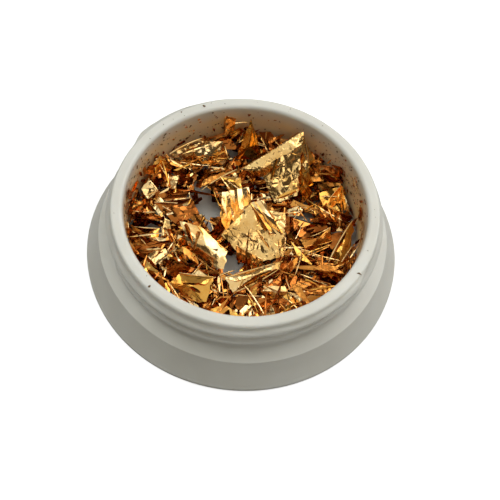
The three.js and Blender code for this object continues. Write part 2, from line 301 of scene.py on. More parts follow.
def leaf_finish_group():
    """Node group: the leaf's colour, gloss and wrinkles. Tone runs from pale gold to copper in patches;
    the deep patches are partly the alloy's own tone and partly painted shade, the redder dark of light
    bounced between flakes.
    """
    group = bpy.data.node_groups.new("leaf_finish", "ShaderNodeTree")
    for name, kind in (("Pale", "Color"), ("Deep", "Color"), ("Wrinkle", "Float")):
        group.interface.new_socket(name, in_out="INPUT", socket_type="NodeSocket" + kind)
    for name, kind in (("Color", "Color"), ("Roughness", "Float"), ("Normal", "Vector")):
        group.interface.new_socket(name, in_out="OUTPUT", socket_type="NodeSocket" + kind)
    inside = node_at(group, "NodeGroupInput")
    outside = node_at(group, "NodeGroupOutput")
    place = node_at(group, "ShaderNodeTexCoord")
    patches = node_at(group, "ShaderNodeTexNoise", Scale=420, Detail=4, Roughness=0.6)
    spread = node_at(group, "ShaderNodeMapRange", From_Min=0.35, From_Max=0.65)
    blend = node_at(group, "ShaderNodeMix", data_type="RGBA")
    gloss = node_at(group, "ShaderNodeMapRange", From_Min=0.3, From_Max=0.7, To_Min=0.08, To_Max=0.24)
    creases = node_at(group, "ShaderNodeTexVoronoi", feature="DISTANCE_TO_EDGE", Scale=1100)
    fold = node_at(group, "ShaderNodeMapRange", From_Min=0.0, From_Max=0.55)
    ripple = node_at(group, "ShaderNodeTexNoise", Scale=2600, Detail=3, Roughness=0.55)
    sum_relief = node_at(group, "ShaderNodeMath", operation="MULTIPLY_ADD")
    sum_relief.inputs[1].default_value = 1.4
    bump = node_at(group, "ShaderNodeBump", Distance=0.00006)
    connect(
        group,
        (place, "Object", patches, "Vector"),
        (patches, "Fac", spread, "Value"),
        (spread, "Result", blend, "Factor"),
        (inside, "Pale", blend, "A"),
        (inside, "Deep", blend, "B"),
        (patches, "Fac", gloss, "Value"),
        (place, "Object", creases, "Vector"),
        (creases, "Distance", fold, "Value"),
        (place, "Object", ripple, "Vector"),
        (fold, "Result", sum_relief, 0),
        (ripple, "Fac", sum_relief, 2),
        (sum_relief, "Value", bump, "Height"),
        (inside, "Wrinkle", bump, "Strength"),
        (blend, "Result", outside, "Color"),
        (gloss, "Result", outside, "Roughness"),
        (bump, "Normal", outside, "Normal"),
    )
    return group


leaf_finish = leaf_finish_group()


def leaf_material(name, pale, deep, wrinkle):
    """One shade of the leaf. The shades are lit and shaded copies of the one leaf, with painted light and
    shade in their colours.
    """
    material, tree, shader = new_material(name)
    finish = node_at(tree, "ShaderNodeGroup", node_tree=leaf_finish)
    finish.inputs["Pale"].default_value = (*pale, 1)
    finish.inputs["Deep"].default_value = (*deep, 1)
    finish.inputs["Wrinkle"].default_value = wrinkle
    shader.inputs["Metallic"].default_value = 1
    connect(
        tree,
        (finish, "Color", shader, "Base Color"),
        (finish, "Roughness", shader, "Roughness"),
        (finish, "Normal", shader, "Normal"),
    )
    return material


# Lit and shaded copies of the one leaf. The bright shade is painted light, for leaf that catches the
# lamps; the dark shade is painted shade, for leaf deep in the heap; copper is partly the alloy's own tone
# and partly painted shade.
lit_bright_leaf = leaf_material("lit_bright_leaf", (0.97, 0.71, 0.37), (0.84, 0.47, 0.14), 0.4)
gold_leaf = leaf_material("gold_leaf", (0.93, 0.61, 0.25), (0.74, 0.39, 0.10), 0.75)
amber_leaf = leaf_material("amber_leaf", (0.84, 0.46, 0.11), (0.68, 0.30, 0.045), 0.3)
copper_leaf = leaf_material("copper_leaf", (0.72, 0.32, 0.07), (0.46, 0.145, 0.022), 0.4)
shaded_dark_leaf = leaf_material("shaded_dark_leaf", (0.46, 0.15, 0.028), (0.24, 0.06, 0.01), 0.4)


# ---------------------------------------------------------------- the flakes
# Each flake is a torn scrap of leaf that was folded and crumpled by hand, so that it is a net of
# flat facets with sharp creases, often with an edge turned over.


def plate_corners(node):
    """The middle plane of a packed flake: its corners in order round its peak, in metres."""
    plate = bmesh.new()
    plate.from_mesh(frame["nodes"][node].data)
    bmesh.ops.remove_doubles(plate, verts=plate.verts, dist=1e-6)
    verts = list(plate.verts)
    near = {v: {w for face in v.link_faces for w in face.verts} for v in verts}
    pairs = []
    for i, a in enumerate(verts):
        for b in verts[i + 1:]:
            if not near[a] & near[b] and len(near[a]) + len(near[b]) == len(verts):
                pairs.append(((a.co - b.co).length, i, a, b))
    a, b = min(pairs)[2:]
    top, under = (a, b) if a.normal.z > b.normal.z else (b, a)
    follow = {}
    for face in top.link_faces:
        ring = list(face.verts)
        at = ring.index(top)
        follow[ring[(at + 1) % 3]] = ring[(at + 2) % 3]
    corner = min(follow, key=lambda v: v.co.x)
    corners = []
    for _ in follow:
        mate = min(near[under] - {under}, key=lambda v: (v.co - corner.co).length)
        corners.append((corner.co + mate.co) / 2)
        corner = follow[corner]
    peak = (top.co + under.co) / 2
    plate.free()
    return corners, peak


def triangle_wave(values):
    """Folds values into straight ups and downs between 0 and 1."""
    return np.abs((values % 2) - 1)


def crumple(points, size, rng, depth, fine=1.0):
    """Heights, in mm, of a sheet of facets and sharp creases over flat points, in mm."""
    heights = np.zeros(len(points))
    for sign in (1, -1):
        best = np.full(len(points), -1e9)
        for _ in range(7):
            angle = rng.uniform(0, 2 * math.pi)
            slope = rng.uniform(0.12, 0.5) * depth
            centre = np.array([rng.gauss(0, 0.35), rng.gauss(0, 0.35)]) * size
            direction = np.array([math.cos(angle), math.sin(angle)])
            best = np.maximum(best, (points - centre) @ direction * slope)
        heights += sign * best
    for length, slope in ((1.9, 0.3), (1.1, 0.26), (0.65, 0.24 * fine), (0.42, 0.2 * fine)):
        for _ in range(3):
            angle = rng.uniform(0, 2 * math.pi)
            direction = np.array([math.cos(angle), math.sin(angle)])
            across = np.array([-direction[1], direction[0]])
            step = length * rng.uniform(0.7, 1.3)
            bend = triangle_wave(points @ across / (2.3 * step) + rng.random()) * rng.uniform(0.2, 0.9)
            mask = triangle_wave(points @ (direction + across) / (3.1 * step) + rng.random())
            wave = triangle_wave(points @ direction / step + rng.uniform(0, 2) + bend)
            heights += (wave - 0.5) * step * slope * depth * mask * 0.8
    return heights


def torn_edge(corners, spacing, rng, rough):
    """A closed outline through flat corners, with a point every spacing and a ragged line."""
    edge = []
    count = len(corners)
    seed = Vector((rng.uniform(-50, 50), rng.uniform(-50, 50), 0))
    for i in range(count):
        a, b = corners[i], corners[(i + 1) % count]
        length = np.linalg.norm(b - a)
        steps = max(2, round(length / spacing))
        out = np.array([(b - a)[1], -(b - a)[0]]) / max(length, 1e-9)
        for step in range(steps):
            share = step / steps
            point = a + (b - a) * share
            wander = noise.noise(seed + Vector((point[0], point[1], 0)) * 1.4) * 1.6
            wander += noise.noise(seed + Vector((point[0], point[1], 7)) * 4.5)
            calm = math.sin(math.pi * share)
            edge.append(point + out * wander * rough * (0.25 + 0.75 * calm))
    return edge


def fan_height(points, corners, rises):
    """Heights of flat points on the facets that fan out from the peak, at the origin."""
    heights = np.zeros(len(points))
    angles = np.arctan2(points[:, 1], points[:, 0])
    for i in range(len(corners)):
        j = (i + 1) % len(corners)
        base = np.column_stack([corners[i], corners[j]])
        if abs(np.linalg.det(base)) < 1e-9:
            continue
        first = math.atan2(corners[i][1], corners[i][0])
        width = (math.atan2(corners[j][1], corners[j][0]) - first) % (2 * math.pi)
        inside = ((angles - first) % (2 * math.pi)) <= width
        weights = np.linalg.solve(base, points[inside].T)
        heights[inside] = weights[0] * rises[i] + weights[1] * rises[j]
    return np.clip(heights, min(0, *rises) - 0.4, max(0, *rises) + 0.4)


def inside_outline(points, edge):
    """Which flat points lie inside a closed outline."""
    result = np.zeros(len(points), bool)
    for (x0, y0), (x1, y1) in zip(edge, edge[1:] + edge[:1]):
        crosses = (y0 > points[:, 1]) != (y1 > points[:, 1])
        if y0 == y1:
            continue
        at = x0 + (points[:, 1] - y0) * (x1 - x0) / (y1 - y0)
        result ^= crosses & (points[:, 0] < at)
    return result


def leaf_sheet(corners, peak, seed, spacing=0.16, depth=1.0, fine=1.0, rough=0.1, hems=1, hem_width=0.9):
    """A crumpled flake over the facets from peak to corners, in metres, with hems turned over."""
    rng = random.Random(seed)
    normal = Vector((0, 0, 0))
    for a, b in zip(corners, corners[1:] + corners[:1]):
        normal += (a - peak).cross(b - peak)
    normal.normalize()
    along = (corners[0] - peak) - normal * (corners[0] - peak).dot(normal)
    along.normalize()
    across = normal.cross(along)
    flat = [np.array([(c - peak).dot(along), (c - peak).dot(across)]) / mm for c in corners]
    rises = [(c - peak).dot(normal) / mm for c in corners]
    size = max(np.linalg.norm(a - b) for a in flat for b in flat)
    count = len(flat)
    order = sorted(range(count), key=lambda i: -np.linalg.norm(flat[(i + 1) % count] - flat[i]))
    folded = order[:hems]
    outline = []
    folds = []
    for i in range(count):
        a, b = flat[i], flat[(i + 1) % count]
        outline.append(a)
        if i in folded:
            side = (b - a) / np.linalg.norm(b - a)
            out = np.array([side[1], -side[0]])
            width = min(hem_width * rng.uniform(0.7, 1.3), 0.3 * size)
            length = np.linalg.norm(b - a)
            for end, inward in ((a, side), (b, -side)):
                outline.append(
                    end + out * width * rng.uniform(0.5, 1) + inward * length * rng.uniform(0.08, 0.22)
                )
            folds.append((a, out, rng.choice((1, 1, -1)), math.tan(math.radians(rng.uniform(4, 16)))))
    edge = torn_edge(outline, spacing, rng, rough)
    low = np.min(edge, axis=0)
    high = np.max(edge, axis=0)
    rows = np.arange(low[1], high[1], spacing * 0.87)
    grid = []
    for k, y in enumerate(rows):
        for x in np.arange(low[0] + (k % 2) * spacing / 2, high[0], spacing):
            grid.append((x + rng.uniform(-0.2, 0.2) * spacing, y + rng.uniform(-0.2, 0.2) * spacing))
    grid = np.array(grid)
    kept = grid[inside_outline(grid, [tuple(p) for p in edge])]
    if len(kept):
        gap = np.min(np.linalg.norm(kept[:, None, :] - np.array(edge)[None, :, :], axis=2), axis=1)
        kept = kept[gap > spacing * 0.45]
    every = [Vector(p) for p in edge] + [Vector(p) for p in kept]
    made = delaunay_2d_cdt(every, [], [list(range(len(edge)))], 1, 1e-5)
    points = np.array([tuple(p) for p in made[0]])
    bent = points.copy()
    lifts = np.zeros(len(points))
    for start, out, side, opening in folds:
        beyond = np.maximum(0, (points - start) @ out)
        bent -= 2 * beyond[:, None] * out
        lifts += side * np.where(beyond > 0, 0.05 + beyond * opening, 0)
    heights = fan_height(bent, flat, rises) + crumple(bent, size, rng, depth, fine) + lifts
    heights += 0.35 * crumple(points, size, rng, depth * 0.6, fine)
    axes = np.array((along, across, normal))
    places = np.array(peak) / mm + np.column_stack([bent, heights]) @ axes
    triangles = np.array([face for face in made[2] if len(face) == 3])
    rim = []
    for place, rise in zip(flat, rises):
        rim.append(peak + along * (place[0] * mm) + across * (place[1] * mm) + normal * (rise * mm))
    return places, triangles, rim


def two_sided(points, triangles, thickness=0.02):
    """A closed thin sheet round open triangles: its points and its faces."""
    corners = points[triangles]
    face_normals = np.cross(corners[:, 1] - corners[:, 0], corners[:, 2] - corners[:, 0])
    normals = np.zeros_like(points)
    for side in range(3):
        np.add.at(normals, triangles[:, side], face_normals)
    sizes = np.linalg.norm(normals, axis=1, keepdims=True)
    normals = normals / np.maximum(sizes, 1e-9)
    count = len(points)
    both = np.vstack([points + normals * thickness / 2, points - normals * thickness / 2])
    faces = [tuple(t) for t in triangles] + [(c + count, b + count, a + count) for a, b, c in triangles]
    borders = set()
    for a, b, c in triangles:
        for edge in ((a, b), (b, c), (c, a)):
            borders.add(edge)
    for a, b in sorted(borders):
        if (b, a) not in borders:
            faces.append((b, a, a + count, b + count))
    return both, faces


def rolled_rod(ends, radius, rng, sides=7, squash=0.7):
    """A rolled-up edge or scrap: a thin closed rod with a slight bend and pinched ends."""
    first, last = (np.array(end, float) for end in ends)
    line = last - first
    length = np.linalg.norm(line)
    line = line / length
    side = np.cross(line, [0.31, 0.17, 0.93])
    side = side / np.linalg.norm(side)
    over = np.cross(side, line)
    rings = max(4, round(length / 0.5))
    bend = rng.uniform(-0.05, 0.05) * length
    spin = rng.uniform(0, math.pi)
    points = []
    for ring in range(rings + 1):
        share = ring / rings
        centre = first + line * length * share + side * bend * 4 * share * (1 - share)
        reach = radius * (0.35 + 0.65 * min(1, 5 * share, 5 * (1 - share))) * rng.uniform(0.85, 1.15)
        for step in range(sides):
            angle = spin + 2 * math.pi * step / sides
            points.append(centre + reach * (side * math.cos(angle) + over * squash * math.sin(angle)))
    faces = [tuple(range(sides - 1, -1, -1))]
    for ring in range(rings):
        for step in range(sides):
            after = (step + 1) % sides
            low = ring * sides
            faces.append((low + step, low + after, low + sides + after, low + sides + step))
    faces.append(tuple(range(rings * sides, rings * sides + sides)))
    return np.array(points), faces


def join_pieces(name, pieces):
    """One object from many closed shapes, each with its points in mm, its faces and its shade."""
    places, faces, shade_of_face, materials = [], [], [], []
    for points, piece_faces, material in pieces:
        if material not in materials:
            materials.append(material)
        start = len(places)
        places += [tuple(p) for p in np.asarray(points) * mm]
        faces += [tuple(int(i) + start for i in face) for face in piece_faces]
        shade_of_face += [materials.index(material)] * len(piece_faces)
    mesh = bpy.data.meshes.new(name)
    mesh.from_pydata(places, [], faces)
    for material in materials:
        mesh.materials.append(material)
    sheet = bmesh.new()
    sheet.from_mesh(mesh)
    for face, shade in zip(sheet.faces, shade_of_face):
        face.smooth = True
        face.material_index = shade
    sharpest_bend = math.radians(24)
    for crease in sheet.edges:
        crease.smooth = len(crease.link_faces) == 2 and crease.calc_face_angle() < sharpest_bend
    sheet.to_mesh(mesh)
    sheet.free()
    joined = bpy.data.objects.new(name, mesh)
    bpy.context.scene.collection.objects.link(joined)
    return joined


def pleated_band(start, end, fall, spread, pleats, wave, rng):
    """A skirt of pleats that hangs from the edge between two points, in mm, along fall."""
    start, end, fall, spread = (np.array(v, float) for v in (start, end, fall, spread))
    out = np.cross(end - start + spread, fall)
    out = out / np.linalg.norm(out)
    folds = np.cumsum([rng.uniform(0.6, 1.4) for _ in range(2 * pleats + 1)])
    folds = np.concatenate([[0], folds / folds[-1]])
    rows = 5
    points = []
    for i, share in enumerate(folds):
        reach = rng.uniform(0.75, 1.1)
        for row in range(rows + 1):
            down = row / rows * reach
            swing = wave * (0.25 + 0.75 * down) * (1 if i % 2 else -1) * rng.uniform(0.5, 1.2)
            swing += wave * 0.45 * rng.uniform(-1, 1) * min(1, 2 * down)
            sway = (end - start) * 0.03 * rng.uniform(-1, 1) * down
            along = fall + spread * (share - 0.5)
            points.append(start + (end - start) * share + along * down + out * swing + sway)
    triangles = []
    for i in range(len(folds) - 1):
        for row in range(rows):
            a = i * (rows + 1) + row
            b = a + rows + 1
            triangles += [(a, b, b + 1), (a, b + 1, a + 1)]
    return np.array(points), np.array(triangles)


def lay_flake(node, seed, material, rods=0, bands=(), bars=(), **shape):
    """Builds the flake that stands for a packed one, with rods where its edges rolled up."""
    corners, peak = plate_corners(node)
    points, triangles, rim = leaf_sheet(corners, peak, seed, **shape)
    pieces = [(*two_sided(points, triangles), material)]
    rng = random.Random(seed + 5000)
    rim = [np.array(corner) / mm for corner in rim]
    lengths = [np.linalg.norm(rim[(i + 1) % len(rim)] - rim[i]) for i in range(len(rim))]
    longest = sorted(range(len(rim)), key=lambda i: -lengths[i])
    for i in longest[:rods]:
        ends = (rim[i], rim[(i + 1) % len(rim)])
        pieces.append((*rolled_rod(ends, rng.uniform(0.07, 0.12), rng), lit_bright_leaf))
    for start, end, radius in bars:
        pieces.append((*rolled_rod((start, end), radius, rng), lit_bright_leaf))
    for start, end, fall, spread, pleats, wave, shade in bands:
        band, band_triangles = pleated_band(start, end, fall, spread, pleats, wave, rng)
        pieces.append((*two_sided(band, band_triangles), shade))
        triangles = np.vstack([triangles, band_triangles + len(points)])
        points = np.vstack([points, band])
    flake = join_pieces("leaf_" + node, pieces)
    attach(flake, frame["nodes"][node]["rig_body"])
    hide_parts(node)
    return points, triangles


# The small flakes take turns among the lit and shaded copies of the leaf: painted light and shade.
small_shades = (amber_leaf, copper_leaf, shaded_dark_leaf, copper_leaf, lit_bright_leaf)
straight = (0, 0, 0)
# Each band's shade copy follows how lit it looks: painted light and shade, amber where a band faces away
# from the lamps.
folded_bands = [
    ((5.1, 10.1, 7.6), (5.5, 4.7, 4.8), (1.5, -0.8, -2.2), straight, 5, 0.32, amber_leaf),
    ((4.9, 10.3, 7.8), (-1.0, 6.2, 5.8), (-0.4, 0.5, -0.9), straight, 1, 0.08, amber_leaf),
]
kite_bands = [
    ((-2.7, 3.3, 5.2), (0.0, 4.1, 5.6), (0.8, -3.9, -0.7), (0.8, 0, 0), 3, 0.42, lit_bright_leaf),
    ((0.3, 2.0, 5.8), (1.7, 2.8, 5.5), (2.5, -3.0, -0.9), straight, 2, 0.24, lit_bright_leaf),
    ((-0.5, -2.3, 4.1), (2.3, -3.4, 3.8), (0.2, -1.5, -0.9), straight, 4, 0.2, copper_leaf),
]
fan_bands = [((9.7, 6.2, 4.8), (9.9, 6.1, 4.85), (-0.3, -2.4, -0.8), (2.6, 0, 0), 5, 0.24, lit_bright_leaf)]
back_bars = [
    ((-8.8, 7.2, 5.5), (-5.6, 9.3, 6.1), 0.14),
    ((-7.4, 7.4, 5.5), (-4.0, 9.0, 6.1), 0.16),
    ((-3.1, 9.3, 5.2), (-2.5, 8.3, 4.2), 0.12),
]
wall_bars = [((-3.3, 10.7, 5.6), (-3.35, 10.95, 8.1), 0.16), ((-3.1, 10.85, 6.9), (-0.9, 11.3, 7.2), 0.1)]
spike_bars = [((-0.6, 10.8, 8.3), (1.0, 9.1, 4.2), 0.1)]
# Each large flake's shade copy sets how lit it looks: painted light and shade.
large_flakes = {
    "kite_flake": dict(material=gold_leaf, rods=2, depth=0.5, fine=0.45, hems=1, bands=kite_bands),
    "large_folded_flake": dict(
        material=gold_leaf, rods=2, depth=0.4, fine=0.35, hems=1, bands=folded_bands
    ),
    "crumpled_flake_left": dict(material=lit_bright_leaf, rods=2, depth=0.5, fine=0.6, hems=2),
    "long_flake_front": dict(material=lit_bright_leaf, rods=2, depth=0.4, fine=0.3, hems=1),
    "long_flake_left": dict(material=copper_leaf, rods=1, depth=0.6, fine=0.4, hems=2),
    "middle_flake_left": dict(material=amber_leaf, rods=2, depth=0.3, fine=0.3, hems=1),
    "square_flake_left": dict(material=lit_bright_leaf, rods=2, depth=0.3, fine=0.3, hems=0),
    "flat_flake_front": dict(material=amber_leaf, rods=1, depth=0.12, fine=0.2, hems=1),
    "dark_flake_left": dict(material=shaded_dark_leaf, rods=1, depth=0.4, fine=0.3, hems=1),
    "low_flake_left": dict(material=amber_leaf, rods=1, depth=0.2, fine=0.2, hems=1),
    "fan_flake_right": dict(material=amber_leaf, rods=1, depth=0.4, fine=0.3, hems=0, bands=fan_bands),
    "rolled_flake_back": dict(material=lit_bright_leaf, rods=1, depth=0.35, fine=0.3, hems=2, bars=back_bars),
    "spike_flake": dict(material=amber_leaf, rods=1, depth=0.15, fine=0.2, hems=0, bars=spike_bars),
    "upright_flake_right": dict(material=amber_leaf, rods=2, depth=0.6, fine=0.4, hems=1),
    "middle_flake_right": dict(material=copper_leaf, rods=2, depth=0.5, fine=0.4, hems=1),
    "front_flake_right": dict(material=copper_leaf, rods=2, depth=0.5, fine=0.4, hems=1),
    "wall_flake": dict(material=lit_bright_leaf, rods=0, depth=0.25, fine=0.2, hems=0, bars=wall_bars),
}
laid = {}
for order, node in enumerate(sorted(frame["nodes"])):
    if node == "pot":
        continue
    if node in large_flakes:
        laid[node] = lay_flake(node, seed=100 + order, spacing=0.17, hem_width=1.0, **large_flakes[node])
        continue
    laid[node] = lay_flake(
        node,
        seed=100 + order,
        material=small_shades[order % len(small_shades)],
        rods=order % 2,
        spacing=0.2,
        depth=0.9,
        fine=0.5,
        hems=order % 2,
        hem_width=0.6,
    )


# ---------------------------------------------------------------- the loose scraps
# Between and under the flakes lies what broke off them: small folded scraps, slivers, rolled-up
# rods and crumbs, dropped in and settled on each other. They leave the pot's floor bare in places.

cell = 0.15
drop_radius = 11.75
wall_clear_radius = 11.9
press = 0.9
places_tried = 5
half_map = math.ceil(bore_radius / cell) + 1
side_map = 2 * half_map + 1
far = (np.arange(side_map) - half_map) * cell
distance_map = np.hypot(far[:, None], far[None, :])
into_fillet = np.clip(distance_map - (bore_radius - bore_draft - floor_fillet), 0, floor_fillet)
heap = floor_top + floor_fillet - np.sqrt(np.maximum(floor_fillet**2 - into_fillet**2, 0))
open_sky = 99.0
roof = np.full(heap.shape, open_sky)
bare_spots = (
    (-4.6, 3.0, 0.8),
    (-3.7, 2.2, 0.6),
    (-3.3, 1.1, 0.6),
    (-0.8, -3.2, 0.6),
    (-0.6, -4.2, 0.5),
    (6.5, 2.4, 0.35),
)


def spread_samples(points, triangles):
    """Points all over the triangles of a sheet."""
    a, b, c = (points[triangles[:, side]] for side in range(3))
    return np.vstack([points, (a + b + c) / 3, (a + b) / 2, (b + c) / 2, (a + c) / 2])


def cells_of(samples):
    """Where samples fall on the height maps."""
    index = np.rint(samples[:, :2] / cell).astype(int) + half_map
    return index[:, 0].clip(0, side_map - 1), index[:, 1].clip(0, side_map - 1)


for node, (points, triangles) in laid.items():
    samples = spread_samples(points, triangles)
    columns, rows = cells_of(samples)
    if frame["nodes"][node]["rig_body"] == "foil_bed":
        np.maximum.at(heap, (columns, rows), samples[:, 2])
    else:
        np.minimum.at(roof, (columns, rows), samples[:, 2])
edges = np.pad(roof, 1, constant_values=open_sky)
for shift_x in (0, 1, 2):
    for shift_y in (0, 1, 2):
        roof = np.minimum(roof, edges[shift_x:shift_x + side_map, shift_y:shift_y + side_map])


def plan_creases(rng, edge, width, folds, hem):
    """The creases of a scrap: which way most run, and each one's normal, place and fold angle."""
    way = rng.choice((rng.uniform(1.3, 1.8), rng.uniform(1.3, 1.8), rng.uniform(0, 3.14)))
    creases = []
    at = -0.38 * width
    for _ in range(folds):
        at += rng.uniform(0.12, 0.5) * width
        turned = way + rng.uniform(-0.12, 0.12)
        normal = np.array([math.cos(turned), math.sin(turned)])
        creases.append((normal, at, rng.choice((-1, 1)) * math.radians(rng.uniform(25, 140))))
    if hem:
        normal = np.array([math.cos(way), math.sin(way)])
        reach = max(point @ normal for point in edge) - rng.uniform(0.12, 0.3)
        creases.append((normal, reach, rng.choice((-1, 1)) * math.radians(rng.uniform(120, 165))))
    return way, creases


def crease_lines(edge, creases):
    """Where the creases cross a scrap: the two ends of each."""
    lines = []
    for normal, reach, _ in creases:
        along = np.array([-normal[1], normal[0]])
        hits = []
        for a, b in zip(edge, edge[1:] + edge[:1]):
            side_a, side_b = a @ normal - reach, b @ normal - reach
            if side_a * side_b < 0:
                hits.append(a + (b - a) * side_a / (side_a - side_b))
        hits.sort(key=lambda p: p @ along)
        if len(hits) >= 2:
            lines.append((hits[0] + along * 0.01, hits[-1] - along * 0.01))
    return lines


def distance_to(line, point):
    """How far a point is from an endless line through two points."""
    a, b = line
    across = np.array([(b - a)[1], -(b - a)[0]])
    return abs((np.array(point) - a) @ across) / max(np.linalg.norm(b - a), 1e-6)


def fold_up(points, creases):
    """Folds a flat scrap along its creases, the last one first."""
    beyond = [np.ones(len(points), bool)]
    flat = points[:, :2].copy()
    for normal, reach, _ in creases:
        beyond.append(beyond[-1] & (flat @ normal > reach))
    for (normal, reach, angle), mask in reversed(list(zip(creases, beyond[1:]))):
        outward = points[mask, :2] @ normal - reach
        lift = points[mask, 2]
        points[mask, :2] += np.outer(outward * (math.cos(angle) - 1) - lift * math.sin(angle), normal)
        points[mask, 2] = outward * math.sin(angle) + lift * math.cos(angle)


def pleated_scrap(rng, length, width, folds, hem):
    """A torn scrap, flat at first, folded along a few lines that run much the same way."""
    sides = rng.choice((4, 5, 6))
    outline = []
    for side in range(sides):
        angle = 2 * math.pi * (side + rng.uniform(-0.3, 0.3)) / sides
        reach = rng.uniform(0.8, 1.15)
        x, y = length / 2 * reach * math.cos(angle), width / 2 * reach * math.sin(angle)
        outline.append(np.array([x, y]))
    spacing = max(0.22, min(length, width) / 6)
    edge = torn_edge(outline, spacing, rng, 0.05)
    low, high = np.min(edge, axis=0), np.max(edge, axis=0)
    inner = []
    for y in np.arange(low[1] + spacing / 2, high[1], spacing):
        for x in np.arange(low[0] + spacing / 2, high[0], spacing):
            inner.append((x + rng.uniform(-0.25, 0.25) * spacing, y + rng.uniform(-0.25, 0.25) * spacing))
    way, creases = plan_creases(rng, edge, width, folds, hem)
    every = [tuple(p) for p in edge]
    inside = inside_outline(np.array(inner), every) if inner else []
    lines = crease_lines(edge, creases)
    for point, keep in zip(inner, inside):
        if keep and all(distance_to(line, point) > spacing * 0.3 for line in lines):
            every.append(point)
    cuts = []
    for a, b in lines:
        cuts.append((len(every), len(every) + 1))
        every += [tuple(a), tuple(b)]
    made = delaunay_2d_cdt([Vector(p) for p in every], cuts, [list(range(len(edge)))], 1, 1e-5)
    flat = np.array([tuple(p) for p in made[0]])
    triangles = np.array([t for t in made[2] if len(t) == 3])
    used = np.unique(triangles)
    relabel = np.full(len(flat), -1)
    relabel[used] = np.arange(len(used))
    flat, triangles = flat[used], relabel[triangles]
    points = np.column_stack([flat, np.zeros(len(flat))])
    bow = rng.uniform(-0.09, 0.09)
    points[:, 2] = bow * (flat[:, 0] * math.cos(way) + flat[:, 1] * math.sin(way)) ** 2
    points[:, 2] += [0.05 * noise.noise(Vector((x * 1.7, y * 1.7, length * 31))) for x, y in flat]
    fold_up(points, creases)
    return points, triangles


def turn_about(axis, angle):
    """The turn by an angle about an axis, as a matrix."""
    return np.array(Matrix.Rotation(angle, 3, axis))


def settle(samples, x, y, height_limit):
    """Drops a scrap at x, y on the heap; gives where it lies, or None where it can't.

    It sinks in until a tenth of it is below the heap, as scraps catch in each other.
    """
    moved = samples + np.array([x, y, 0])
    for _ in range(3):
        excess = np.max(np.hypot(moved[:, 0], moved[:, 1])) - wall_clear_radius
        if excess > 0:
            away = math.hypot(x, y)
            x, y = x - x * excess / away, y - y * excess / away
            moved = samples + np.array([x, y, 0])
    if excess > 0.02:
        return None
    if any(np.min(np.hypot(moved[:, 0] - bx, moved[:, 1] - by)) < br for bx, by, br in bare_spots):
        return None
    places = cells_of(moved)
    lift = np.quantile(heap[places] - moved[:, 2], press) + 0.02
    tops = moved[:, 2] + lift
    if np.any(tops > roof[places] - 0.08) or np.max(tops) > height_limit:
        return None
    np.maximum.at(heap, places, tops)
    return np.array([x, y, lift])


def lowest_place(rng, height_limit):
    """Of a few random places in the pot, the one where the heap is furthest below its limit."""
    best = None
    for _ in range(places_tried):
        radius, angle = drop_radius * math.sqrt(rng.random()), rng.uniform(0, 2 * math.pi)
        x, y = radius * math.cos(angle), radius * math.sin(angle)
        place = cells_of(np.array([[x, y, 0]]))
        room = min(height_limit(radius), roof[place][0]) - heap[place][0]
        if best is None or room > best[0]:
            best = (room, x, y, height_limit(radius))
    return best[1:]


def drop_scraps(count, seed, make, height_limit, tilt_spread):
    """Drops pieces until count lie on the heap; make gives each one's points and faces."""
    rng = random.Random(seed)
    pieces = []
    for _ in range(count * 7):
        if len(pieces) == count:
            break
        points, faces, samples, material = make(rng)
        middle = points.mean(axis=0)
        tilt, yaw = rng.gauss(0, tilt_spread), rng.uniform(0, 2 * math.pi)
        turn = turn_about("Z", yaw) @ turn_about("X", tilt)
        points = (points - middle) @ turn.T
        samples = (samples - middle) @ turn.T
        for _ in range(3):
            x, y, limit = lowest_place(rng, height_limit)
            place = settle(samples, x, y, limit)
            if place is not None:
                pieces.append((points + place, faces, material))
                break
    return pieces


# The scraps lean to the copper and dark copies: painted shade, for the dark red-brown hollows of the
# heap.
scrap_shades = (copper_leaf, shaded_dark_leaf, amber_leaf, copper_leaf, lit_bright_leaf)
scrap_shades += (shaded_dark_leaf, copper_leaf, shaded_dark_leaf)


def make_scrap(rng):
    """A folded scrap a few millimetres across."""
    length = rng.uniform(1.8, 4.4)
    width = rng.uniform(1.0, 2.6)
    folds = rng.choice((1, 1, 2, 2, 3))
    points, triangles = pleated_scrap(rng, length, width, folds, rng.random() < 0.5)
    sheet, faces = two_sided(points, triangles)
    return sheet, faces, spread_samples(points, triangles), rng.choice(scrap_shades)


def make_sliver(rng):
    """A long narrow strip with one fold along it."""
    length = rng.uniform(1.5, 4.2)
    width = rng.uniform(0.25, 0.6)
    points, triangles = pleated_scrap(rng, length, width, 1, False)
    sheet, faces = two_sided(points, triangles)
    return sheet, faces, spread_samples(points, triangles), rng.choice(scrap_shades + (lit_bright_leaf,) * 3)


def make_rod(rng):
    """A scrap that rolled up on itself."""
    length = rng.uniform(1.0, 3.8)
    points, faces = rolled_rod(((0, 0, 0), (length, 0, 0)), rng.uniform(0.05, 0.11), rng)
    # Rods are mostly the lit copy: painted light, for the thin bright lines they make.
    return points, faces, points, rng.choice((lit_bright_leaf, lit_bright_leaf, amber_leaf, copper_leaf))


def make_crumb(rng):
    """A crumb: one small bent facet."""
    size = rng.uniform(0.15, 0.42)
    corners = []
    for angle in (0.2, 1.7, 3.1, 4.7):
        x = rng.uniform(0.5, 1) * size * math.cos(angle)
        y = rng.uniform(0.4, 1) * size * math.sin(angle)
        corners.append((x, y, rng.uniform(0, 0.35) * size))
    points = np.array(corners)
    triangles = np.array([(0, 1, 2), (0, 2, 3)])
    sheet, faces = two_sided(points, triangles)
    return sheet, faces, points, rng.choice(scrap_shades)


def heap_limit(base, edge):
    """How high scraps may reach at a distance from the middle: base there, edge at the wall."""
    return lambda radius: base + (edge - base) * (radius / 12) ** 2


